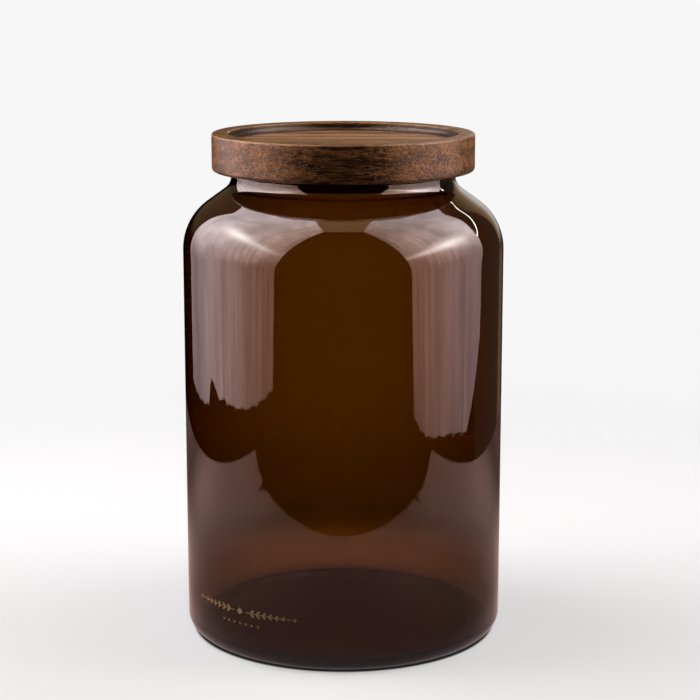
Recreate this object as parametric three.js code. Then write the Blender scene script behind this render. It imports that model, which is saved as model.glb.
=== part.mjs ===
// Apothecary jar: a one-piece amber glass jar with a turned wooden lid.
// Millimetres, +Z up. The origin is the centre of the base, on the surface that the jar stands on.
// Every piece is turned about the Z axis, so each one is a profile of (radius, height) points.
// A profile runs anticlockwise: out along the bottom, up the outside, in over the top.

import * as THREE from 'three';

// Overall sizes
const BODY_RADIUS = 65;
const TOTAL_HEIGHT = 205.5;
const SEGMENTS = 64;
const JOINT_GAP = 0.3;

// Glass body
const WALL = 3;
const HEEL_RADIUS = 6.6;
const FLOOR_HEIGHT = 4;
const INNER_HEEL_RADIUS = 4;
const CONTACT_RING_INNER_RADIUS = 52;
const PUSH_UP_RADIUS = 48;
const PUSH_UP_HEIGHT = 1.2;
const SHOULDER_RADIUS = 23;
const SHOULDER_START_HEIGHT = 158.8;
const SHOULDER_SWEEP = THREE.MathUtils.degToRad(54);
const NECK_RADIUS = 45.25;
const NECK_FILLET_RADIUS = 6.5;
const INNER_NECK_FILLET_RADIUS = 3;

// Wooden lid
const LID_RADIUS = 53;
const LID_THICKNESS = 15.1;
const LID_TOP_ROUND = 0.9;
const LID_BOTTOM_ROUND = 1.5;
const TRAY_RADIUS = 46.3;
const TRAY_DEPTH = 3.4;
const TRAY_LIP_ROUND = 0.6;
const TRAY_COVE_RADIUS = 2;

// Spigot glued under the lid, and the silicone ring around it
const PLUG_RADIUS = 39.6;
const PLUG_DEPTH = 5.8;
const PLUG_CHAMFER = 0.5;
const GROOVE_RADIUS = 37.2;
const FLANGE_THICKNESS = 1.2;
const SEAL_BAND_RADIUS = 39.8;
const SEAL_LIP_COUNT = 2;
const SEAL_LIP_THICKNESS = 0.8;

// Heights and radii that follow from the sizes above
const LID_BOTTOM = TOTAL_HEIGHT - LID_THICKNESS;
const RIM_TOP = LID_BOTTOM - JOINT_GAP;
const RIM_ROUND = WALL / 2;
const INNER_NECK_RADIUS = NECK_RADIUS - WALL;
const SHOULDER_CENTRE_RADIUS = BODY_RADIUS - SHOULDER_RADIUS;

// Points along an arc about (centreRadius, centreHeight), both ends included.
// Angles are in radians: 0 points outwards, a quarter turn points up.
function arc(centreRadius, centreHeight, radius, from, to, steps) {
  const points = [];
  for (let i = 0; i <= steps; i += 1) {
    const angle = from + (to - from) * i / steps;
    points.push([centreRadius + radius * Math.cos(angle), centreHeight + radius * Math.sin(angle)]);
  }
  return points;
}

// The height at which the straight slope of the shoulder, set in by `inset`, would meet a radius.
function slopeHeightAt(radius, inset) {
  const arcRadius = SHOULDER_RADIUS - inset;
  const startRadius = SHOULDER_CENTRE_RADIUS + arcRadius * Math.cos(SHOULDER_SWEEP);
  const startHeight = SHOULDER_START_HEIGHT + arcRadius * Math.sin(SHOULDER_SWEEP);
  return startHeight + (startRadius - radius) / Math.tan(SHOULDER_SWEEP);
}

// The hollow curve that joins the sloping shoulder to the upright neck, from the slope up.
function neckFillet(neckRadius, filletRadius, inset, steps) {
  const rise = filletRadius * Math.tan(SHOULDER_SWEEP / 2);
  const centreHeight = slopeHeightAt(neckRadius, inset) + rise;
  return arc(neckRadius + filletRadius, centreHeight, filletRadius, Math.PI + SHOULDER_SWEEP, Math.PI, steps);
}

// Turns a profile about the Z axis.
function turned(name, profile, material) {
  const outline = profile.map(([radius, height]) => new THREE.Vector2(Math.max(radius, 0), height));
  const geometry = new THREE.LatheGeometry(outline, SEGMENTS);
  geometry.rotateX(Math.PI / 2);
  const mesh = new THREE.Mesh(geometry, material);
  mesh.name = name;
  return mesh;
}

// The glass: a push-up in the base, a rounded heel, a straight wall, a shoulder and a short neck.
function glassJar() {
  const quarter = Math.PI / 2;
  const outside = [
    [0, PUSH_UP_HEIGHT],
    [PUSH_UP_RADIUS, PUSH_UP_HEIGHT],
    [CONTACT_RING_INNER_RADIUS, 0],
    ...arc(BODY_RADIUS - HEEL_RADIUS, HEEL_RADIUS, HEEL_RADIUS, -quarter, 0, 6),
    ...arc(SHOULDER_CENTRE_RADIUS, SHOULDER_START_HEIGHT, SHOULDER_RADIUS, 0, SHOULDER_SWEEP, 7),
    ...neckFillet(NECK_RADIUS, NECK_FILLET_RADIUS, 0, 5),
  ];
  const rim = arc(NECK_RADIUS - RIM_ROUND, RIM_TOP - RIM_ROUND, RIM_ROUND, 0, Math.PI, 6);
  const inside = [
    ...neckFillet(INNER_NECK_RADIUS, INNER_NECK_FILLET_RADIUS, WALL, 3).reverse(),
    ...arc(SHOULDER_CENTRE_RADIUS, SHOULDER_START_HEIGHT, SHOULDER_RADIUS - WALL, SHOULDER_SWEEP, 0, 6),
    ...arc(
      BODY_RADIUS - WALL - INNER_HEEL_RADIUS,
      FLOOR_HEIGHT + INNER_HEEL_RADIUS,
      INNER_HEEL_RADIUS,
      0,
      -quarter,
      5,
    ),
    [0, FLOOR_HEIGHT],
  ];
  const glass = new THREE.MeshStandardMaterial({
    color: '#4a2408',
    roughness: 0.03,
    metalness: 0,
    transparent: true,
    opacity: 0.7,
  });
  return turned('glass_jar', [...outside, ...rim, ...inside], glass);
}

// The lid: a thick disc with rounded edges and a shallow coved tray turned into its top.
function lidDisc(wood) {
  const quarter = Math.PI / 2;
  const trayFloor = TOTAL_HEIGHT - TRAY_DEPTH;
  const profile = [
    [0, LID_BOTTOM],
    ...arc(LID_RADIUS - LID_BOTTOM_ROUND, LID_BOTTOM + LID_BOTTOM_ROUND, LID_BOTTOM_ROUND, -quarter, 0, 4),
    ...arc(LID_RADIUS - LID_TOP_ROUND, TOTAL_HEIGHT - LID_TOP_ROUND, LID_TOP_ROUND, 0, quarter, 3),
    ...arc(
      TRAY_RADIUS + TRAY_LIP_ROUND,
      TOTAL_HEIGHT - TRAY_LIP_ROUND,
      TRAY_LIP_ROUND,
      quarter,
      Math.PI,
      3,
    ),
    ...arc(
      TRAY_RADIUS - TRAY_COVE_RADIUS,
      trayFloor + TRAY_COVE_RADIUS,
      TRAY_COVE_RADIUS,
      0,
      -quarter,
      4,
    ),
    [0, trayFloor],
  ];
  return turned('lid_disc', profile, wood);
}

// The spigot: a narrow boss under the lid, with a wider flange that keeps the silicone ring on it.
function lidPlug(wood) {
  const top = LID_BOTTOM - JOINT_GAP;
  const bottom = LID_BOTTOM - PLUG_DEPTH;
  const flangeTop = bottom + FLANGE_THICKNESS;
  const profile = [
    [0, bottom],
    [PLUG_RADIUS - PLUG_CHAMFER, bottom],
    [PLUG_RADIUS, bottom + PLUG_CHAMFER],
    [PLUG_RADIUS, flangeTop],
    [GROOVE_RADIUS, flangeTop],
    [GROOVE_RADIUS, top],
    [0, top],
  ];
  return turned('lid_plug', profile, wood);
}

// The seal: a flat band around the boss, with thin lips that reach the inside of the neck.
function sealRing() {
  const bottom = LID_BOTTOM - PLUG_DEPTH + FLANGE_THICKNESS + JOINT_GAP;
  const top = LID_BOTTOM - JOINT_GAP;
  const boreRadius = GROOVE_RADIUS + JOINT_GAP;
  const lipRadius = INNER_NECK_RADIUS - JOINT_GAP;
  const pitch = (top - bottom) / SEAL_LIP_COUNT;
  const profile = [[boreRadius, bottom]];
  for (let i = 0; i < SEAL_LIP_COUNT; i += 1) {
    const lipBottom = bottom + pitch * i;
    profile.push(
      [SEAL_BAND_RADIUS, lipBottom],
      [SEAL_BAND_RADIUS, lipBottom + SEAL_LIP_THICKNESS / 2],
      [lipRadius, lipBottom + SEAL_LIP_THICKNESS],
      [lipRadius, lipBottom + SEAL_LIP_THICKNESS * 1.5],
      [SEAL_BAND_RADIUS, lipBottom + SEAL_LIP_THICKNESS * 2],
    );
  }
  profile.push([SEAL_BAND_RADIUS, top], [boreRadius, top], [boreRadius, bottom]);
  const silicone = new THREE.MeshStandardMaterial({ color: '#0b0a0a', roughness: 0.45, metalness: 0 });
  return turned('seal_ring', profile, silicone);
}

const discWood = new THREE.MeshStandardMaterial({ color: '#6b4628', roughness: 0.55, metalness: 0 });
const plugWood = new THREE.MeshStandardMaterial({ color: '#3b2414', roughness: 0.65, metalness: 0 });

const jar = new THREE.Group();
jar.add(glassJar());
jar.add(lidDisc(discWood));
jar.add(lidPlug(plugWood));
jar.add(sealRing());

export default jar;
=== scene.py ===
"""Looks of the amber apothecary jar with its turned wooden lid. Metres, +Z up, same frame as the CAD."""
import math

import bpy
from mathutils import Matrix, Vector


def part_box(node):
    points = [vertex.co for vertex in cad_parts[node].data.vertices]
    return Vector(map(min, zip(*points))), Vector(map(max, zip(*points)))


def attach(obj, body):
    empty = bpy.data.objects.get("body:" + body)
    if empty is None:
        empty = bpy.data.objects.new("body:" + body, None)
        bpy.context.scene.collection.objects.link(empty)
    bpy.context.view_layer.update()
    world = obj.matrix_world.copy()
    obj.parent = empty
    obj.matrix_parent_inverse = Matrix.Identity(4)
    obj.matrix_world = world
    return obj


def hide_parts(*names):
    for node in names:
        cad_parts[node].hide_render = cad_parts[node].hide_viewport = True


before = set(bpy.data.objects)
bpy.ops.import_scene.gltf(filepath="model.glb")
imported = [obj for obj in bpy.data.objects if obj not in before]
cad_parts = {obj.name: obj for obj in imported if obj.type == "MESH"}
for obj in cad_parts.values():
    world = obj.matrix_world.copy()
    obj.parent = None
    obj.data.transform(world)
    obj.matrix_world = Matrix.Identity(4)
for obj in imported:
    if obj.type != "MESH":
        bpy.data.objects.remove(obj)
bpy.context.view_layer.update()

# ---------------------------------------------------------------------------------------------
# Sizes, in metres
# ---------------------------------------------------------------------------------------------

MM = 0.001
_, jar_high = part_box("glass_jar")
disc_low, disc_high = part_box("lid_disc")
plug_low, plug_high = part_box("lid_plug")
seal_low, seal_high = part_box("seal_ring")

SEGMENTS = 256
NO_LENGTH = 1e-7

# Glass body
BODY_RADIUS = jar_high[0]
RIM_TOP = jar_high[2]
WALL = 3 * MM
HEEL_RADIUS = 6.6 * MM
FLOOR_HEIGHT = 4 * MM
INNER_HEEL_RADIUS = 4 * MM
CONTACT_RING_INNER_RADIUS = 52 * MM
PUSH_UP_RADIUS = 48 * MM
PUSH_UP_HEIGHT = 1.2 * MM
SHOULDER_RADIUS = 23 * MM
SHOULDER_START = 158.8 * MM
SHOULDER_SWEEP = math.radians(54)
NECK_RADIUS = 45.25 * MM
NECK_FILLET = 6.5 * MM
INNER_NECK_FILLET = 3 * MM
RIM_ROUND = WALL / 2

# Lid disc
LID_RADIUS = disc_high[0]
LID_BOTTOM = disc_low[2]
LID_TOP = disc_high[2]
LID_TOP_ROUND = 0.9 * MM
LID_BOTTOM_ROUND = 1.5 * MM
TRAY_RADIUS = 46.3 * MM
TRAY_DEPTH = 3.4 * MM
TRAY_LIP_ROUND = 0.6 * MM
TRAY_COVE = 2 * MM

# Spigot and seal
PLUG_RADIUS = plug_high[0]
GROOVE_RADIUS = 37.2 * MM
FLANGE_THICKNESS = 1.2 * MM
PLUG_CHAMFER = 0.5 * MM
SEAL_BORE = GROOVE_RADIUS + 0.3 * MM
SEAL_BAND = 39.8 * MM
SEAL_LIP = seal_high[0]
SEAL_LIP_COUNT = 2
SEAL_LIP_THICKNESS = 0.8 * MM


# ---------------------------------------------------------------------------------------------
# Turned shapes
# ---------------------------------------------------------------------------------------------

def arc(centre_radius, centre_height, radius, start, end, steps):
    """Points (radius, height) along an arc. Angle 0 points outwards, a quarter turn points up."""
    points = []
    for i in range(steps + 1):
        angle = start + (end - start) * i / steps
        points.append((centre_radius + radius * math.cos(angle), centre_height + radius * math.sin(angle)))
    return points


def refined(profile, longest):
    """The profile with extra points along every stretch longer than `longest`."""
    points = [profile[0]]
    for (r0, z0), (r1, z1) in zip(profile, profile[1:]):
        length = math.hypot(r1 - r0, z1 - z0)
        if length < NO_LENGTH:
            continue
        pieces = max(1, math.ceil(length / longest))
        for k in range(1, pieces + 1):
            points.append((r0 + (r1 - r0) * k / pieces, z0 + (z1 - z0) * k / pieces))
    return points


def turned(name, profile, material, body, node):
    """A closed solid turned about Z from an anticlockwise profile. It stands for a CAD node."""
    closed = profile[0][0] >= NO_LENGTH
    rings = profile[:-1] if closed else profile
    vertices = []
    start_of = []
    for r, z in rings:
        start_of.append(len(vertices))
        if r < NO_LENGTH:
            vertices.append((0, 0, z))
            continue
        for k in range(SEGMENTS):
            a = 2 * math.pi * k / SEGMENTS
            vertices.append((r * math.cos(a), r * math.sin(a), z))
    faces = []
    count = len(rings)
    for i in range(count if closed else count - 1):
        j = (i + 1) % count
        low, high = start_of[i], start_of[j]
        for k in range(SEGMENTS):
            n = (k + 1) % SEGMENTS
            if rings[i][0] < NO_LENGTH:
                faces.append((low, high + n, high + k))
            elif rings[j][0] < NO_LENGTH:
                faces.append((low + k, low + n, high))
            else:
                faces.append((low + k, low + n, high + n, high + k))
    mesh = bpy.data.meshes.new(name)
    mesh.from_pydata(vertices, [], faces)
    mesh.shade_smooth()
    mesh.materials.append(material)
    piece = bpy.data.objects.new(name, mesh)
    bpy.context.scene.collection.objects.link(piece)
    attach(piece, body)
    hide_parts(node)


def slope_height_at(radius, inset):
    """Where the straight slope of the shoulder, set in by `inset`, would meet a radius."""
    arc_radius = SHOULDER_RADIUS - inset
    start_radius = BODY_RADIUS - SHOULDER_RADIUS + arc_radius * math.cos(SHOULDER_SWEEP)
    start_height = SHOULDER_START + arc_radius * math.sin(SHOULDER_SWEEP)
    return start_height + (start_radius - radius) / math.tan(SHOULDER_SWEEP)


def neck_fillet(neck_radius, fillet_radius, inset, steps):
    """The hollow curve from the sloping shoulder to the upright neck, from the slope up."""
    centre_height = slope_height_at(neck_radius, inset) + fillet_radius * math.tan(SHOULDER_SWEEP / 2)
    start = math.pi + SHOULDER_SWEEP
    return arc(neck_radius + fillet_radius, centre_height, fillet_radius, start, math.pi, steps)


def jar_profile():
    quarter = math.pi / 2
    shoulder_centre = BODY_RADIUS - SHOULDER_RADIUS
    ring_blend = 1.2 * MM
    outside = [(0, PUSH_UP_HEIGHT)]
    outside += [(PUSH_UP_RADIUS, PUSH_UP_HEIGHT)]
    outside += [(CONTACT_RING_INNER_RADIUS - ring_blend / 2, 0.05 * MM), (CONTACT_RING_INNER_RADIUS, 0)]
    outside += arc(BODY_RADIUS - HEEL_RADIUS, HEEL_RADIUS, HEEL_RADIUS, -quarter, 0, 24)
    outside += arc(shoulder_centre, SHOULDER_START, SHOULDER_RADIUS, 0, SHOULDER_SWEEP, 30)
    outside += neck_fillet(NECK_RADIUS, NECK_FILLET, 0, 20)
    rim = arc(NECK_RADIUS - RIM_ROUND, RIM_TOP - RIM_ROUND, RIM_ROUND, 0, math.pi, 20)
    inside = list(reversed(neck_fillet(NECK_RADIUS - WALL, INNER_NECK_FILLET, WALL, 14)))
    inside += arc(shoulder_centre, SHOULDER_START, SHOULDER_RADIUS - WALL, SHOULDER_SWEEP, 0, 28)
    inner_radius = BODY_RADIUS - WALL - INNER_HEEL_RADIUS
    inside += arc(inner_radius, FLOOR_HEIGHT + INNER_HEEL_RADIUS, INNER_HEEL_RADIUS, 0, -quarter, 20)
    inside += [(0, FLOOR_HEIGHT)]
    return refined(outside + rim + inside, 4 * MM)


def disc_profile():
    quarter = math.pi / 2
    floor = LID_TOP - TRAY_DEPTH
    bottom_corner = LID_RADIUS - LID_BOTTOM_ROUND
    top_corner = LID_RADIUS - LID_TOP_ROUND
    lip = TRAY_RADIUS + TRAY_LIP_ROUND
    cove = TRAY_RADIUS - TRAY_COVE
    profile = [(0, LID_BOTTOM)]
    profile += arc(bottom_corner, LID_BOTTOM + LID_BOTTOM_ROUND, LID_BOTTOM_ROUND, -quarter, 0, 10)
    profile += arc(top_corner, LID_TOP - LID_TOP_ROUND, LID_TOP_ROUND, 0, quarter, 8)
    profile += arc(lip, LID_TOP - TRAY_LIP_ROUND, TRAY_LIP_ROUND, quarter, math.pi, 7)
    profile += arc(cove, floor + TRAY_COVE, TRAY_COVE, 0, -quarter, 10)
    profile += [(0, floor)]
    return refined(profile, 2.5 * MM)


def plug_profile():
    bottom, top = plug_low[2], plug_high[2]
    flange_top = bottom + FLANGE_THICKNESS
    round_off = 0.2 * MM
    profile = [(0, bottom), (PLUG_RADIUS - PLUG_CHAMFER, bottom)]
    profile += arc(PLUG_RADIUS - PLUG_CHAMFER, bottom + PLUG_CHAMFER, PLUG_CHAMFER, -math.pi / 2, 0, 6)
    profile += arc(PLUG_RADIUS - round_off, flange_top - round_off, round_off, 0, math.pi / 2, 4)
    profile += [(GROOVE_RADIUS, flange_top), (GROOVE_RADIUS, top), (0, top)]
    return refined(profile, 2.5 * MM)


def seal_profile():
    bottom, top = seal_low[2], seal_high[2]
    pitch = (top - bottom) / SEAL_LIP_COUNT
    profile = [(SEAL_BORE, bottom)]
    for i in range(SEAL_LIP_COUNT):
        low = bottom + pitch * i
        tip = SEAL_LIP_THICKNESS / 4
        tip_height = low + SEAL_LIP_THICKNESS * 1.25
        profile += [(SEAL_BAND, low), (SEAL_BAND, low + SEAL_LIP_THICKNESS / 2)]
        profile += arc(SEAL_LIP - tip, tip_height, tip, -math.pi / 3, math.pi / 2, 6)
        profile += [(SEAL_BAND, low + SEAL_LIP_THICKNESS * 2)]
    profile += [(SEAL_BAND, top), (SEAL_BORE, top), (SEAL_BORE, bottom)]
    return refined(profile, 0.6 * MM)


# ---------------------------------------------------------------------------------------------
# Material helpers
# ---------------------------------------------------------------------------------------------

class Nodes:
    """A short way to build a material's node tree."""

    def __init__(self, tree):
        self.tree = tree

    def add(self, kind, values=None, **settings):
        node = self.tree.nodes.new("ShaderNode" + kind)
        for key, value in settings.items():
            setattr(node, key, value)
        for key, value in (values or {}).items():
            self.set(node.inputs[key], value)
        return node

    def set(self, socket, value):
        if isinstance(value, bpy.types.NodeSocket):
            self.tree.links.new(value, socket)
        else:
            socket.default_value = value

    def math(self, operation, a, b=0.0, clamp=False):
        node = self.add("Math", {0: a, 1: b}, operation=operation, use_clamp=clamp)
        return node.outputs[0]

    def ramp(self, value, low, high, to_low=0.0, to_high=1.0, smooth=True):
        """Value from low..high mapped to to_low..to_high, clamped."""
        kind = "SMOOTHSTEP" if smooth else "LINEAR"
        ends = {"From Min": low, "From Max": high, "To Min": to_low, "To Max": to_high}
        node = self.add("MapRange", {"Value": value, **ends}, interpolation_type=kind)
        return node.outputs["Result"]

    def mix(self, share, a, b):
        node = self.add("Mix", data_type="RGBA", blend_type="MIX")
        for socket, value in zip((node.inputs[0], node.inputs[6], node.inputs[7]), (share, a, b)):
            self.set(socket, value)
        return node.outputs[2]

    def product(self, *values):
        result = values[0]
        for value in values[1:]:
            result = self.math("MULTIPLY", result, value)
        return result

    def total(self, *values):
        result = values[0]
        for value in values[1:]:
            result = self.math("ADD", result, value)
        return result

    def length(self, a, b):
        """The length of a vector with the components a and b."""
        return self.math("SQRT", self.total(self.product(a, a), self.product(b, b)))

    def noise(self, place, stretch, detail, roughness, offset=0.0):
        """Soft noise that varies `stretch` times a metre along x, y and z."""
        mapping = {"Vector": place, "Location": (offset, offset, offset), "Scale": stretch}
        mapped = self.add("Mapping", mapping).outputs["Vector"]
        values = {"Vector": mapped, "Scale": 1.0, "Detail": detail, "Roughness": roughness}
        return self.add("TexNoise", values).outputs["Fac"]


def new_material(name):
    material = bpy.data.materials.new(name)
    material.use_nodes = True
    material.node_tree.nodes.clear()
    nodes = Nodes(material.node_tree)
    return material, nodes


def surface(nodes, values, bump, bump_distance, bump_strength):
    """A Principled shader with a bump height, wired to the output."""
    shader = nodes.add("BsdfPrincipled", values)
    output = nodes.add("OutputMaterial", {"Surface": shader.outputs[0]})
    relief = {"Height": bump, "Distance": bump_distance, "Strength": bump_strength}
    nodes.set(shader.inputs["Normal"], nodes.add("Bump", relief).outputs[0])
    return output


def object_place(nodes):
    return nodes.add("TexCoord").outputs["Object"]


def radius_and_height(nodes, place):
    x, y, z = nodes.add("SeparateXYZ", {0: place}).outputs
    return nodes.length(x, y), z


# ---------------------------------------------------------------------------------------------
# Materials
# ---------------------------------------------------------------------------------------------

GLASS_IOR = 1.52
GLASS_TINT = (0.625, 0.452, 0.035, 1)
GLASS_DENSITY = 1230.0

RING_SPACING = 5.2 * MM
RING_WANDER = 30 * MM
PITH_Y = -35 * MM
PITH_Z = LID_BOTTOM - 60 * MM
TURNING_PITCH = 0.55 * MM
WOOD_SPECULAR_TINT = (1.0, 0.84, 0.70, 1)

SILICONE_DARK = (0.004, 0.004, 0.004, 1)
SILICONE_BLOOM = (0.016, 0.015, 0.015, 1)
INK_DARK = (0.15, 0.120, 0.050, 1)
INK_LIGHT = (0.27, 0.22, 0.105, 1)


def amber_glass():
    """Smoky amber glass, tinted by its depth, with the faint waviness of a blown wall."""
    material, nodes = new_material("amber_glass")
    place = object_place(nodes)
    waves = nodes.noise(place, (22, 22, 7), 2.0, 0.4)
    smudges = nodes.noise(place, (30, 30, 18), 5.0, 0.6)
    roughness = nodes.ramp(smudges, 0.45, 0.75, 0.002, 0.010)
    values = {
        "Base Color": (1, 1, 1, 1),
        "Roughness": roughness,
        "IOR": GLASS_IOR,
        "Transmission Weight": 1.0,
    }
    output = surface(nodes, values, waves, 0.06 * MM, 0.6)
    tint = {"Color": GLASS_TINT, "Density": GLASS_DENSITY}
    nodes.set(output.inputs["Volume"], nodes.add("VolumeAbsorption", tint).outputs[0])
    return material


def turned_wood(name, dark, mid, light, wear_and_highlight, polish):
    """Stained hardwood with its grain along X: growth rings, streaks, open pores and turning marks."""
    material, nodes = new_material(name)
    place = object_place(nodes)
    _, y, z = nodes.add("SeparateXYZ", {0: place}).outputs
    radius, height = radius_and_height(nodes, place)

    # Growth rings about a pith that lies under and beside the board
    wander = nodes.noise(place, (9, 26, 26), 3.0, 0.5)
    drift = nodes.product(nodes.math("SUBTRACT", wander, 0.5), RING_WANDER)
    from_pith_y = nodes.math("SUBTRACT", y, PITH_Y)
    from_pith_z = nodes.math("SUBTRACT", z, PITH_Z)
    ring_radius = nodes.total(nodes.length(from_pith_y, from_pith_z), drift)
    ring_wave = nodes.math("SINE", nodes.product(ring_radius, 2 * math.pi / RING_SPACING))
    rings = nodes.ramp(ring_wave, -1.0, 1.0, 0.0, 1.0)

    # Long fibres, short dashes, broad streaks and open pores, all drawn out along the grain
    fibres = nodes.noise(place, (26, 800, 800), 4.0, 0.7)
    dashes = nodes.noise(place, (120, 1150, 1150), 3.0, 0.7)
    streaks = nodes.noise(place, (8, 140, 140), 3.0, 0.6)
    pore_field = nodes.noise(place, (280, 1400, 1400), 1.0, 0.5)
    pores = nodes.ramp(pore_field, 0.57, 0.66, 0.0, 1.0)
    speckle = nodes.noise(place, (1000, 1000, 1000), 2.0, 0.6)
    mottle = nodes.noise(place, (18, 90, 90), 3.0, 0.6)

    tone = nodes.total(
        nodes.product(rings, 0.08),
        nodes.product(fibres, 0.5),
        nodes.product(streaks, 0.45),
        nodes.product(dashes, 0.85),
    )
    tone = nodes.ramp(tone, 0.78, 1.14, 0.0, 1.0)
    colour = nodes.mix(tone, dark, light)
    colour = nodes.mix(nodes.ramp(mottle, 0.42, 0.72, 0.0, 0.4), colour, mid)
    colour = nodes.mix(nodes.ramp(speckle, 0.50, 0.66, 0.0, 0.65), colour, dark)
    deepest = (dark[0] * 0.3, dark[1] * 0.3, dark[2] * 0.3, 1)
    colour = nodes.mix(nodes.product(pores, 0.85), colour, deepest)

    # The floor of the tray is painted paler tan: painted light from above, and wear, broken up along the
    # grain
    tray_wear_and_light = nodes.ramp(radius, TRAY_RADIUS - TRAY_COVE * 1.6, TRAY_RADIUS - TRAY_COVE * 0.6, 1.0, 0.0)
    tray_floor = LID_TOP - TRAY_DEPTH
    tray_wear_and_light = nodes.product(tray_wear_and_light, nodes.ramp(height, tray_floor - MM, tray_floor - 0.5 * MM))
    tray_wear_and_light = nodes.product(tray_wear_and_light, nodes.ramp(streaks, 0.35, 0.65, 0.10, 0.62))
    colour = nodes.mix(tray_wear_and_light, colour, wear_and_highlight)

    # Painted shade: the coved corner of the tray is darkened where it lies in shadow
    into_cove = nodes.math("ABSOLUTE", nodes.math("SUBTRACT", radius, TRAY_RADIUS - TRAY_COVE * 0.35))
    painted_cove_shade = nodes.ramp(into_cove, 0.6 * MM, 2.2 * MM, 1.0, 0.0)
    below_lip = nodes.ramp(height, LID_TOP - 1.2 * MM, LID_TOP - 0.4 * MM, 1.0, 0.0)
    painted_cove_shade = nodes.product(painted_cove_shade, below_lip)
    colour = nodes.mix(nodes.product(painted_cove_shade, 0.93), colour, deepest)

    # Edges are painted paler: rubbed where the stain is thin, and a painted highlight where the rounded edge
    # catches light
    rub_noise = nodes.noise(place, (420, 420, 420), 3.0, 0.6)
    lid_edge = (LID_RADIUS - LID_TOP_ROUND * 0.35, LID_TOP - LID_TOP_ROUND * 0.35, 0.9 * MM)
    tray_edge = (TRAY_RADIUS + TRAY_LIP_ROUND * 0.4, LID_TOP - TRAY_LIP_ROUND * 0.4, 0.7 * MM)
    rubbed_and_highlit_edges = []
    for edge_radius, edge_height, reach in (lid_edge, tray_edge):
        dr = nodes.math("SUBTRACT", radius, edge_radius)
        dz = nodes.math("SUBTRACT", height, edge_height)
        away = nodes.total(nodes.length(dr, dz), nodes.product(rub_noise, reach * 0.9))
        rubbed_and_highlit_edges.append(nodes.ramp(away, reach * 0.4, reach * 1.4, 1.0, 0.0))
    colour = nodes.mix(nodes.product(nodes.math("MAXIMUM", *rubbed_and_highlit_edges), 0.30), colour, wear_and_highlight)

    # Turning marks: fine rings left by the tool, strongest on the flat faces
    turning = nodes.math("SINE", nodes.product(radius, 2 * math.pi / TURNING_PITCH))
    height_map = nodes.total(
        nodes.product(fibres, 0.8),
        nodes.product(turning, 0.05),
        nodes.product(speckle, 0.35),
        nodes.product(pores, -0.9),
    )
    dryness = nodes.total(fibres, nodes.product(pores, 0.4))
    roughness = nodes.ramp(dryness, 0.3, 0.9, polish, polish + 0.10)
    values = {
        "Base Color": colour,
        "Roughness": roughness,
        "Specular IOR Level": 0.35,
        "Specular Tint": WOOD_SPECULAR_TINT,
    }
    surface(nodes, values, height_map, 0.12 * MM, 0.8)
    return material


def silicone():
    """Black soft silicone with a dusty, slightly uneven skin."""
    material, nodes = new_material("seal_silicone")
    place = object_place(nodes)
    grain = nodes.noise(place, (900, 900, 900), 3.0, 0.6)
    bloom = nodes.noise(place, (60, 60, 200), 3.0, 0.6)
    colour = nodes.mix(nodes.ramp(bloom, 0.4, 0.8), SILICONE_DARK, SILICONE_BLOOM)
    values = {"Base Color": colour, "Roughness": nodes.ramp(bloom, 0.3, 0.8, 0.42, 0.6)}
    surface(nodes, values, grain, 0.04 * MM, 0.5)
    return material


def gold_print():
    """Muted gold ink with a fine fleck, thin in places."""
    material, nodes = new_material("gold_print")
    place = object_place(nodes)
    fleck = nodes.noise(place, (2500, 2500, 2500), 2.0, 0.5)
    colour = nodes.mix(nodes.ramp(fleck, 0.35, 0.7), INK_DARK, INK_LIGHT)
    values = {"Base Color": colour, "Metallic": 0.35, "Roughness": nodes.ramp(fleck, 0.3, 0.7, 0.38, 0.55)}
    surface(nodes, values, fleck, 0.02 * MM, 0.5)
    return material


# ---------------------------------------------------------------------------------------------
# The jar and its lid
# ---------------------------------------------------------------------------------------------

# The pale tan colour stands for wear and also for painted light: top light on the tray floor and highlights
# on the rubbed edges
lid_wood = turned_wood(
    "lid_wood",
    dark=(0.010, 0.0038, 0.0011, 1),
    mid=(0.075, 0.033, 0.0110, 1),
    light=(0.250, 0.128, 0.045, 1),
    wear_and_highlight=(0.300, 0.180, 0.085, 1),
    polish=0.27,
)
plug_wood = turned_wood(
    "plug_wood",
    dark=(0.005, 0.002, 0.001, 1),
    mid=(0.012, 0.005, 0.0025, 1),
    light=(0.026, 0.012, 0.006, 1),
    wear_and_highlight=(0.040, 0.022, 0.011, 1),
    polish=0.5,
)

turned("jar_glass", jar_profile(), amber_glass(), "root", "glass_jar")
turned("lid_top", disc_profile(), lid_wood, "lid", "lid_disc")
turned("lid_spigot", plug_profile(), plug_wood, "lid", "lid_plug")
turned("lid_seal", seal_profile(), silicone(), "seal", "seal_ring")


# ---------------------------------------------------------------------------------------------
# Printed ornament: a thin rule with leaves, wrapped on the lower left front of the glass
# ---------------------------------------------------------------------------------------------

PRINT_MIDDLE = math.radians(-39)
PRINT_HALF_WIDTH = 26 * MM
PRINT_HEIGHT = 21 * MM
PRINT_LIFT = 0.03 * MM
PRINT_THICKNESS = 0.02 * MM
LOZENGE_REACH = 1.5 * MM
RULE_START = 3.0 * MM
RULE_END = PRINT_HALF_WIDTH - 2.4 * MM
RULE_HALF_THICKNESS = 0.14 * MM
RULE_STEPS = 24
END_DOT_RADIUS = 0.7 * MM
END_DOT_PLACE = PRINT_HALF_WIDTH - 0.8 * MM
LEAF_PAIRS = 6
LEAF_START = 5.2 * MM
LEAF_PITCH = 2.9 * MM
LEAF_LENGTH = 2.5 * MM
LEAF_WIDTH = 0.85 * MM
LEAF_LEAN = math.radians(38)
LEAF_SHRINK = 0.07
DOT_RADIUS = 0.42 * MM
DOT_PITCH = 3.0 * MM
DOT_DROP = 5 * MM
DOTS_EACH_SIDE = 3


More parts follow.
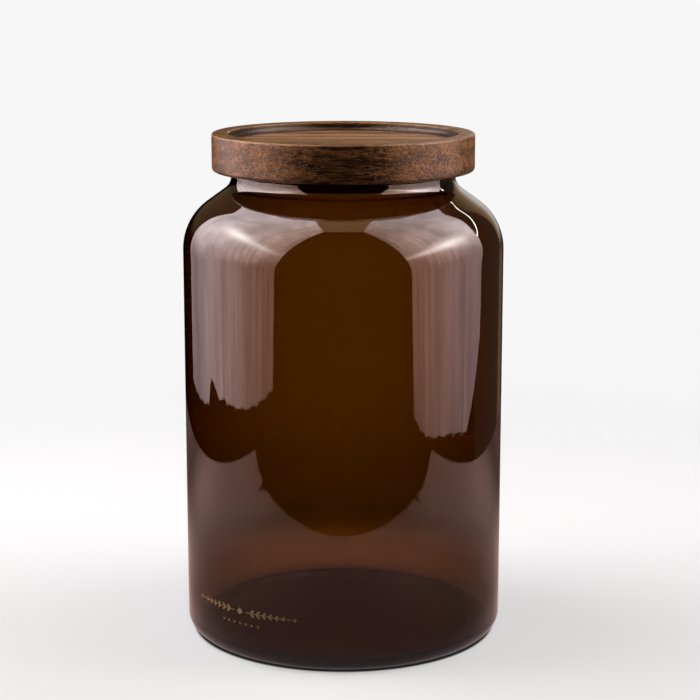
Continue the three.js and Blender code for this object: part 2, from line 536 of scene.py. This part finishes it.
def on_glass(across, up, lift):
    """A point of the print: `across` runs to the right around the glass, `up` along Z."""
    angle = PRINT_MIDDLE + across / BODY_RADIUS
    radius = BODY_RADIUS + lift
    return radius * math.sin(angle), -radius * math.cos(angle), up


def flat_shape(outline, centre, turn, scale):
    """The outline turned, scaled and moved to a centre in the print's own plane."""
    cos_turn, sin_turn = math.cos(turn), math.sin(turn)
    placed = []
    for u, v in outline:
        u, v = u * scale, v * scale
        placed.append((centre[0] + u * cos_turn - v * sin_turn, centre[1] + u * sin_turn + v * cos_turn))
    return placed


def leaf(length, width, steps=10):
    upper = [(length * t / steps, width / 2 * math.sin(math.pi * t / steps) ** 0.8) for t in range(steps + 1)]
    lower = [(u, -v) for u, v in reversed(upper[1:-1])]
    return list(reversed(upper + lower))


def round_dot(radius, steps=20):
    turns = [2 * math.pi * k / steps for k in range(steps)]
    return [(radius * math.cos(turn), radius * math.sin(turn)) for turn in turns]


def half_rule(side):
    """The rule on one side of the lozenge, as an anticlockwise strip."""
    lower = []
    for k in range(RULE_STEPS + 1):
        across = RULE_START + (RULE_END - RULE_START) * k / RULE_STEPS
        lower.append((side * across, PRINT_HEIGHT - RULE_HALF_THICKNESS))
    strip = lower + [(u, PRINT_HEIGHT + RULE_HALF_THICKNESS) for u, _ in reversed(lower)]
    return strip if side > 0 else list(reversed(strip))


def ornament_shapes():
    reach = LOZENGE_REACH
    lozenge = [(reach, 0), (0, reach), (-reach, 0), (0, -reach)]
    shapes = [flat_shape(lozenge, (0, PRINT_HEIGHT), 0, 1)]
    for side in (-1, 1):
        shapes.append(half_rule(side))
        shapes.append(flat_shape(round_dot(END_DOT_RADIUS), (side * END_DOT_PLACE, PRINT_HEIGHT), 0, 1))
        for k in range(LEAF_PAIRS):
            foot = side * (LEAF_START + LEAF_PITCH * k)
            for up in (-1, 1):
                turn = LEAF_LEAN * up if side > 0 else math.pi - LEAF_LEAN * up
                size = 1 - LEAF_SHRINK * k
                shapes.append(flat_shape(leaf(LEAF_LENGTH, LEAF_WIDTH), (foot, PRINT_HEIGHT), turn, size))
    for k in range(-DOTS_EACH_SIDE, DOTS_EACH_SIDE + 1):
        shapes.append(flat_shape(round_dot(DOT_RADIUS), (k * DOT_PITCH, PRINT_HEIGHT - DOT_DROP), 0, 1))
    return shapes


def make_ornament():
    """Each shape is a thin closed plate that follows the glass."""
    vertices = []
    faces = []
    for shape in ornament_shapes():
        count = len(shape)
        base = len(vertices)
        vertices += [on_glass(u, v, PRINT_LIFT) for u, v in shape]
        vertices += [on_glass(u, v, PRINT_LIFT + PRINT_THICKNESS) for u, v in shape]
        half = count // 2
        for k in range(count):
            n = (k + 1) % count
            faces.append((base + k, base + n, base + count + n, base + count + k))
        # Strips between the two long sides keep the plate close to the curved glass
        for k in range(half - 1):
            a, b, c, d = k, k + 1, count - 2 - k, count - 1 - k
            top = [base + count + i for i in (a, b, c, d)]
            under = [base + i for i in (d, c, b, a)]
            distinct_top = list(dict.fromkeys(top))
            distinct_under = list(dict.fromkeys(under))
            if len(distinct_top) > 2:
                faces.append(tuple(distinct_top))
                faces.append(tuple(distinct_under))
    mesh = bpy.data.meshes.new("print_ornament")
    mesh.from_pydata(vertices, [], faces)
    mesh.materials.append(gold_print())
    piece = bpy.data.objects.new("print_ornament", mesh)
    bpy.context.scene.collection.objects.link(piece)
    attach(piece, "root")


make_ornament()


# ---------------------------------------------------------------------------------------------
# Studio: a white table with a dark edge in front, two tall cloth diffusers that lean in over the
# jar, a gap of light above, and a white backdrop. What is seen, directly or through the glass, is
# lit apart from what is mirrored in the jar or lights it.
# ---------------------------------------------------------------------------------------------

BLACK = (0, 0, 0, 1)
WHITE = (1, 1, 1, 1)

# Table
FLOOR_REACH = 4.0
TABLE_HALF_WIDTH = 0.352
TABLE_HALF_DEPTH = 0.58
TABLE_MIDDLE_Y = -0.10
TABLE_FRONT_Y = -0.194
TABLE_BULGE = 0.055
TABLE_BULGE_HALF_WIDTH = 0.26
RUCK_DEPTH = 0.03
TUFT_MIDDLE_X = -0.017
TUFT_SPREAD = 0.245
TUFT_HALF_WIDTH = 0.008
TUFT_LENGTH = 0.024
BEFORE_JAR = (0, -0.12, 0)
SEEN_DARK = (0.370, 0.447, 0.466, 1)
SEEN_LIGHT = (0.390, 0.467, 0.486, 1)
MIRRORED_FRONT = (0.94, 0.73, 0.88, 1)
MIRRORED_SIDES = (0.86, 0.68, 0.61, 1)
HEEL_GLOW = 0.30
HEEL_GLOW_COLOUR = (0.90, 0.72, 0.72, 1)

# Cloth
CLOTH_TOP = 1.38
CLOTH_FRONT_Y = -0.46
CLOTH_FOOT_GAP = 0.51
CLOTH_LEAN_GAP = 0.12
CLOTH_LEAN_HEIGHT = 1.10
HOT_SPOT = 9.0
ROSY = ((1.45, 0.82, 0.60, 1), (1.45, 1.04, 1.08, 1))
PALE = ((1.06, 0.84, 0.76, 1), (1.06, 1.00, 1.00, 1))

# Other lights
CEILING_BACK_Y = 0.5
CEILING_COLOUR = (1, 0.62, 0.32, 1)
CEILING_GLOW = 1.55
SLIT_COLOUR = (1, 0.93, 0.80, 1)
SLIT_GLOW = 34.0
FAR_WALL_COLOUR = (1, 0.74, 0.52, 1)
FAR_WALL_GLOW = 0.07
BACKDROP_SEEN = 0.93
BACKDROP_FILL = 0.02
BACKDROP_WARM = (1.0, 0.66, 0.36, 1)
BACKDROP_PALE = (1.0, 0.96, 0.94, 1)


def stage_object(name, vertices, faces, material):
    mesh = bpy.data.meshes.new(name)
    mesh.from_pydata(vertices, [], faces)
    mesh.materials.append(material)
    thing = bpy.data.objects.new(name, mesh)
    bpy.context.scene.collection.objects.link(thing)
    return thing


def hidden_sheet(name, vertices, faces, material):
    """A stage sheet that only lights things and shows in reflections."""
    sheet = stage_object(name, vertices, faces, material)
    sheet.visible_camera = False
    sheet.visible_transmission = False


def front_edge(nodes, place, x):
    """The y of the table's front edge: bulged in the middle, rucked beside it, with two tufts."""
    across = nodes.math("DIVIDE", x, TABLE_BULGE_HALF_WIDTH)
    bulge = nodes.math("SUBTRACT", 1.0, nodes.product(across, across), clamp=True)
    edge = nodes.math("SUBTRACT", TABLE_FRONT_Y, nodes.product(bulge, TABLE_BULGE))
    ruck = nodes.math("SUBTRACT", nodes.noise(place, (45, 0, 0), 3.0, 0.7), 0.5)
    ruck_depth = nodes.ramp(nodes.math("ABSOLUTE", x), 0.05, 0.2, 0.0, RUCK_DEPTH)
    edge = nodes.total(edge, nodes.product(ruck, ruck_depth))
    beside = nodes.math("ABSOLUTE", nodes.math("SUBTRACT", x, TUFT_MIDDLE_X))
    from_tuft = nodes.math("ABSOLUTE", nodes.math("SUBTRACT", beside, TUFT_SPREAD))
    return nodes.total(edge, nodes.ramp(from_tuft, 0.0, TUFT_HALF_WIDTH, TUFT_LENGTH, 0.0))


def table_top(nodes, place, x, y):
    """1 on the table top, an oval cut off in front, and 0 elsewhere."""
    across = nodes.math("DIVIDE", x, TABLE_HALF_WIDTH)
    along = nodes.math("DIVIDE", nodes.math("SUBTRACT", y, TABLE_MIDDLE_Y), TABLE_HALF_DEPTH)
    oval = nodes.total(nodes.product(across, across), nodes.product(along, along))
    past_edge = nodes.math("SUBTRACT", y, front_edge(nodes, place, x))
    return nodes.product(nodes.ramp(oval, 0.985, 1.015, 1.0, 0.0), nodes.ramp(past_edge, -0.002, 0.002))


def floor_material():
    """White table. Far from the jar it melts into the white backdrop, and only the table top, not
    the backdrop, is mirrored in the glass or throws light back on the jar."""
    material, nodes = new_material("studio_floor")
    place = nodes.add("NewGeometry").outputs["Position"]
    x, y, _ = nodes.add("SeparateXYZ", {0: place}).outputs
    sideways = nodes.math("ABSOLUTE", x)
    distance = nodes.add("VectorMath", {0: place}, operation="LENGTH").outputs["Value"]
    to_front = {0: place, 1: BEFORE_JAR}
    before_jar = nodes.add("VectorMath", to_front, operation="DISTANCE").outputs["Value"]
    rays = nodes.add("LightPath").outputs
    seen = nodes.math("MAXIMUM", rays["Is Camera Ray"], rays["Is Transmission Ray"])
    not_seen = nodes.math("SUBTRACT", 1.0, seen)

    # Seen: painted shadow makes it nearly black under the jar, painted shade darkens it behind the glass and
    # painted light brightens it around its foot
    painted_shadow_under_jar = nodes.ramp(distance, 0.0618, 0.0634, 0.03, 1.0)
    painted_shade_and_caustic = nodes.product(
        nodes.ramp(distance, 0.085, 0.16, -0.9, 0.52),
        nodes.ramp(distance, 0.2, 0.5, 1.0, 0.0),
    )
    behind_glass = nodes.product(rays["Is Transmission Ray"], painted_shade_and_caustic)
    shade = nodes.product(painted_shadow_under_jar, nodes.math("SUBTRACT", 1.0, behind_glass))
    paper = nodes.noise(place, (400, 400, 400), 3.0, 0.6)
    seen_colour = nodes.mix(shade, BLACK, nodes.mix(paper, SEEN_DARK, SEEN_LIGHT))

    # Mirrored: painted shade, dimmer close in front of the jar and behind it, brightest far to the sides
    light = nodes.product(
        nodes.ramp(before_jar, 0.03, 0.16, 0.40, 1.0),
        nodes.ramp(y, 0.04, 0.22, 1.0, 0.16),
        nodes.ramp(sideways, 0.0, 0.12, 0.96, 1.0),
        nodes.ramp(sideways, 0.15, 0.27, 0.55, 1.0),
    )
    mirrored_colour = nodes.mix(nodes.ramp(before_jar, 0.03, 0.16), MIRRORED_FRONT, MIRRORED_SIDES)
    mirrored_colour = nodes.mix(light, BLACK, mirrored_colour)
    colour = nodes.mix(seen, mirrored_colour, seen_colour)
    white = nodes.add("BsdfDiffuse", {"Color": colour, "Roughness": 0.5}).outputs[0]

    # A glow keeps the seen table white, and lights the heel of the jar from below
    seen_glow = nodes.product(seen, shade, nodes.ramp(y, -0.10, 0.04, 0.425, 0.378))
    heel_glow = nodes.product(not_seen, nodes.ramp(distance, 0.062, 0.105, HEEL_GLOW, 0.0))
    glow_colour = nodes.mix(seen, HEEL_GLOW_COLOUR, WHITE)
    glow_strength = nodes.total(seen_glow, heel_glow)
    glow = nodes.add("Emission", {"Color": glow_colour, "Strength": glow_strength}).outputs[0]
    table = nodes.add("AddShader", {0: white, 1: glow}).outputs[0]

    fade = nodes.ramp(distance, 0.13, 0.55, 1.0, 0.0)
    on_table = table_top(nodes, place, x, y)
    share = nodes.total(nodes.product(seen, fade), nodes.product(not_seen, on_table))
    clear = nodes.add("BsdfTransparent").outputs[0]
    both = nodes.add("MixShader", {0: share, 1: clear, 2: table}).outputs[0]
    nodes.add("OutputMaterial", {"Surface": both})
    return material


def lean(height):
    """How far a diffuser stands from the middle at a height: it leans in towards the top."""
    reach = CLOTH_FOOT_GAP - CLOTH_LEAN_GAP
    return CLOTH_LEAN_GAP + reach * math.exp(-height / CLOTH_LEAN_HEIGHT)


def share_between(value, low, high):
    return min(max((value - low) / (high - low), 0.0), 1.0)


def ragged(y, seed):
    """Folds along the bottom hem of a cloth: a deterministic mix of waves, always zero or more."""
    wave = abs(math.sin(37 * y + seed)) * 0.5 + abs(math.sin(83 * y + 2.1 * seed)) * 0.3
    return wave + abs(math.sin(211 * y + 0.7 * seed)) ** 3 * 0.5


def left_hem(y):
    """Highest beside the jar, lower towards both ends, with one tall notch just behind the middle."""
    slope = 0.087 if y > 0 else 0.062
    notch_half_width = 0.035 if y > 0.125 else 0.10
    notch = max(0.0, 1 - abs(y - 0.125) / notch_half_width)
    return -0.004 - slope * abs(y) + 0.020 * notch + 0.004 * ragged(y, 1.3)


def right_hem(y):
    """Low at the front end, rising past the jar."""
    share = share_between(-y, 0.0, 0.38)
    return -0.028 - 0.026 * share * share * (3 - 2 * share) + 0.004 * ragged(y, 4.1)


def left_back(height):
    """Where the left cloth ends at the back: further forward higher up."""
    return 0.50 - 0.12 * share_between(height, 0.0, 0.35)


def right_back(height):
    """Where the right cloth ends at the back: further back higher up, and cut in at the hem."""
    return 0.17 + 0.35 * share_between(height, 0.35, 0.95) - 0.125 * (max(0.04 - height, 0) / 0.063) ** 1.5


def diffuser(name, side, back_edge, hem, material, rows=30, columns=320):
    """A tall sheet of white cloth, lit from behind. back_edge(height) is where it ends at the back
    and hem(y) is how high its bottom edge hangs."""
    vertices = []
    for i in range(rows + 1):
        for k in range(columns + 1):
            share = k / columns
            low = hem(CLOTH_FRONT_Y + (back_edge(0) - CLOTH_FRONT_Y) * share)
            height = low + (CLOTH_TOP - low) * (i / rows) ** 2
            y = CLOTH_FRONT_Y + (back_edge(height) - CLOTH_FRONT_Y) * share
            vertices.append((side * lean(height), y, height))
    faces = []
    for i in range(rows):
        for k in range(columns):
            a = i * (columns + 1) + k
            faces.append((a, a + 1, a + columns + 2, a + columns + 1))
    hidden_sheet(name, vertices, faces, material)


def bell(nodes, value, middle, width):
    """A smooth bump: 1 at the middle, falling off over the width."""
    offset = nodes.math("DIVIDE", nodes.math("SUBTRACT", value, middle), width)
    return nodes.math("POWER", math.e, nodes.product(offset, offset, -1.0))


def cloth_weave(nodes, place, y, z):
    """Upright creases, soft folds and fine threads, as a factor around 1. They fade to the back."""
    creases = nodes.noise(place, (0, 26, 2.5), 4.0, 0.62, 0.37)
    crease_light = nodes.ramp(creases, 0.32, 0.68, -0.27, 0.27, smooth=False)
    crease_light = nodes.product(crease_light, nodes.ramp(y, -0.06, 0.16, 1.0, 0.3))
    folds = nodes.noise(place, (0, 6, 9), 2.0, 0.5, 0.61)
    fold_light = nodes.ramp(folds, 0.25, 0.75, 0.74, 1.26, smooth=False)
    threads = nodes.noise(place, (0, 62, 4), 3.0, 0.6, 0.43)
    thread_light = nodes.product(
        nodes.ramp(threads, 0.30, 0.70, -0.13, 0.13, smooth=False),
        nodes.ramp(y, 0.02, 0.22, 1.0, 0.4),
        nodes.ramp(z, 0.25, 0.42, 1.0, 0.25),
    )
    return nodes.product(
        nodes.total(crease_light, 1.0),
        fold_light,
        nodes.total(thread_light, 1.0),
    )


def lit_cloth(name, low_light, hem_share, high_light, high_from, top_share, middle, spot, streak, slope):
    """Diffuser cloth. low_light is its strength near the table, brightest at y = middle, falling to
    hem_share at the hem, and high_light its strength from the height high_from, falling to top_share
    further up. The lamp makes a hot spot at spot, (y, z), and a streak in front of it that slopes."""
    material, nodes = new_material(name)
    place = nodes.add("NewGeometry").outputs["Position"]
    _, y, z = nodes.add("SeparateXYZ", {0: place}).outputs

    low = nodes.product(
        nodes.ramp(z, -0.05, 0.13, hem_share, 1.12, smooth=False),
        nodes.total(nodes.product(bell(nodes, y, middle, 0.27), 0.40), 0.66),
        nodes.ramp(y, 0.05, 0.36, 1.0, 0.54),
        low_light,
    )
    upper = nodes.ramp(z, high_from, high_from + 0.25)
    high = nodes.product(
        upper,
        nodes.ramp(y, 0.10, 0.42, high_light, high_light * 0.6),
        nodes.ramp(y, -0.46, -0.22, 0.55, 1.0),
        nodes.ramp(z, 0.45, 0.85, 1.0, top_share),
    )
    even = nodes.total(nodes.product(low, nodes.math("SUBTRACT", 1.0, upper)), high)
    even = nodes.product(even, cloth_weave(nodes, place, y, z))

    spot_y, spot_z = spot
    hot = nodes.product(bell(nodes, y, spot_y, 0.11), bell(nodes, z, spot_z, 0.050), HOT_SPOT)
    line = nodes.total(nodes.product(nodes.math("SUBTRACT", y, spot_y), slope), spot_z)
    from_line = nodes.math("SUBTRACT", z, line)
    along = nodes.product(bell(nodes, from_line, 0.0, 0.029), bell(nodes, y, spot_y - 0.16, 0.22), streak)
    lamp = nodes.total(hot, along)

    # The cloth shines mostly straight ahead, so its front end and its top hardly light matt things
    glossy = nodes.add("LightPath").outputs["Is Glossy Ray"]
    matt = nodes.math("SUBTRACT", 1.0, glossy)
    aimed = nodes.product(nodes.ramp(y, -0.30, 0.0, 0.02, 1.0), nodes.ramp(z, 0.25, 0.7, 1.0, 0.6))
    aimed = nodes.total(nodes.product(aimed, matt), glossy)
    strength = nodes.product(nodes.total(even, lamp), aimed)

    whiter = nodes.math("MULTIPLY", nodes.total(upper, nodes.product(lamp, 0.1)), 0.6, clamp=True)
    towards_back = nodes.ramp(y, -0.45, 0.25)
    tint = nodes.mix(whiter, nodes.mix(towards_back, *ROSY), nodes.mix(towards_back, *PALE))
    light = nodes.add("Emission", {"Color": tint, "Strength": strength}).outputs[0]
    nodes.add("OutputMaterial", {"Surface": light})
    return material


def glowing(name, colour, strength, on_matt):
    """Plain light. on_matt is the share of it that matt things get."""
    material, nodes = new_material(name)
    glossy = nodes.add("LightPath").outputs["Is Glossy Ray"]
    share = nodes.ramp(glossy, 0.0, 1.0, strength * on_matt, strength, smooth=False)
    light = nodes.add("Emission", {"Color": colour, "Strength": share}).outputs[0]
    nodes.add("OutputMaterial", {"Surface": light})
    return material


def build_diffusers():
    left_cloth = lit_cloth(
        "left_cloth",
        low_light=2.05,
        hem_share=0.84,
        high_light=5.6,
        high_from=0.10,
        top_share=1.0,
        middle=0.0,
        spot=(-0.015, 0.408),
        streak=5.8,
        slope=0.165,
    )
    right_cloth = lit_cloth(
        "right_cloth",
        low_light=1.85,
        hem_share=0.66,
        high_light=5.2,
        high_from=0.14,
        top_share=0.68,
        middle=-0.25,
        spot=(-0.070, 0.330),
        streak=6.2,
        slope=0.12,
    )
    diffuser("left_diffuser", -1, left_back, left_hem, left_cloth)
    diffuser("right_diffuser", 1, right_back, right_hem, right_cloth)


def build_other_lights():
    """The gap above between the cloths, a bright slit behind the right one, and a dim far wall."""
    one_face = [(0, 1, 2, 3)]
    reach = lean(CLOTH_TOP)
    gap = [
        (-reach, CLOTH_FRONT_Y, CLOTH_TOP),
        (reach, CLOTH_FRONT_Y, CLOTH_TOP),
        (reach, CEILING_BACK_Y, CLOTH_TOP),
        (-reach, CEILING_BACK_Y, CLOTH_TOP),
    ]
    hidden_sheet("ceiling_gap", gap, one_face, glowing("ceiling_gap", CEILING_COLOUR, CEILING_GLOW, 0.4))
    slit = [(0.422, 0.172, 0.292), (0.362, 0.520, 0.580), (0.357, 0.520, 0.584), (0.417, 0.172, 0.299)]
    hidden_sheet("bright_slit", slit, one_face, glowing("bright_slit", SLIT_COLOUR, SLIT_GLOW, 0.0))
    wall = [(0.80, 1.25, -0.4), (1.6, 0.5, -0.4), (1.6, 0.5, 1.4), (0.80, 1.25, 1.4)]
    hidden_sheet("far_wall", wall, one_face, glowing("far_wall", FAR_WALL_COLOUR, FAR_WALL_GLOW, 1.0))


def mirrored_backdrop(nodes):
    """How the backdrop behind the jar shows in its edges, and how pale it is there."""
    direction = nodes.add("TexCoord").outputs["Generated"]
    aside, forward, up = nodes.add("SeparateXYZ", {0: direction}).outputs
    ahead = nodes.ramp(forward, 0.2, 0.7)
    upper = nodes.product(nodes.ramp(up, 0.03, 0.16), ahead, nodes.ramp(aside, -0.25, 0.45, 0.15, 0.22))

    # Behind and to the right it is lit, and shows as a pale band along the right shoulder
    off_axis = nodes.total(aside, nodes.product(up, 0.7))
    lit = nodes.product(nodes.ramp(up, -0.12, 0.02), ahead, nodes.ramp(aside, 0.0, 0.12))
    pale = nodes.product(lit, nodes.ramp(off_axis, 0.34, 0.56, 1.0, 0.0))
    warm = nodes.product(lit, nodes.ramp(off_axis, 0.46, 0.86, 0.36, 0.0))

    # Low down to the right it shows as a dim strip along the right edge of the body
    low_edge = nodes.product(
        nodes.ramp(up, -0.14, -0.07, 0.24, 0.0),
        nodes.ramp(aside, 0.20, 0.45),
        ahead,
        nodes.ramp(aside, 0.58, 0.72, 1.0, 0.0),
    )
    light = nodes.total(upper, nodes.product(pale, 0.44), warm, low_edge)
    return light, pale


def build_world():
    world = bpy.data.worlds.new("studio")
    world.use_nodes = True
    world.node_tree.nodes.clear()
    nodes = Nodes(world.node_tree)
    rays = nodes.add("LightPath").outputs
    seen = nodes.math("MAXIMUM", rays["Is Camera Ray"], rays["Is Transmission Ray"])
    not_seen = nodes.math("SUBTRACT", 1.0, seen)
    glossy = rays["Is Glossy Ray"]
    backdrop, pale = mirrored_backdrop(nodes)
    mirrored = nodes.product(glossy, backdrop)
    fill = nodes.total(mirrored, nodes.product(nodes.math("SUBTRACT", 1.0, glossy), BACKDROP_FILL))
    strength = nodes.total(nodes.product(seen, BACKDROP_SEEN), nodes.product(not_seen, fill))
    backdrop_colour = nodes.mix(pale, BACKDROP_WARM, BACKDROP_PALE)
    colour = nodes.mix(nodes.product(glossy, not_seen), WHITE, backdrop_colour)
    background = nodes.add("Background", {"Color": colour, "Strength": strength})
    nodes.add("OutputWorld", {"Surface": background.outputs[0]})
    world.cycles.sampling_method = "NONE"
    bpy.context.scene.world = world
    bpy.context.scene.view_settings.view_transform = "Standard"


def build_floor():
    reach = FLOOR_REACH
    corners = [(-reach, -reach, 0), (reach, -reach, 0), (reach, reach, 0), (-reach, reach, 0)]
    stage_object("studio_floor", corners, [(0, 1, 2, 3)], floor_material())


build_floor()
build_diffusers()
build_other_lights()
build_world()


# ---------------------------------------------------------------------------------------------
# Camera
# ---------------------------------------------------------------------------------------------

CAMERA_DISTANCE = 0.800
CAMERA_HEIGHT = 0.2796
CAMERA_SIDE = 0.0027
CAMERA_PITCH = math.radians(11.553)
CAMERA_LENS = 102.14
SENSOR_WIDTH = 36

camera_data = bpy.data.cameras.new("camera")
camera_data.lens = CAMERA_LENS
camera_data.sensor_width = SENSOR_WIDTH
camera_data.clip_start = 0.01
camera_data.clip_end = 20
camera = bpy.data.objects.new("camera", camera_data)
camera.location = (CAMERA_SIDE, -CAMERA_DISTANCE, CAMERA_HEIGHT)
camera.rotation_euler = (math.pi / 2 - CAMERA_PITCH, 0, 0)
bpy.context.scene.collection.objects.link(camera)
bpy.context.scene.camera = camera
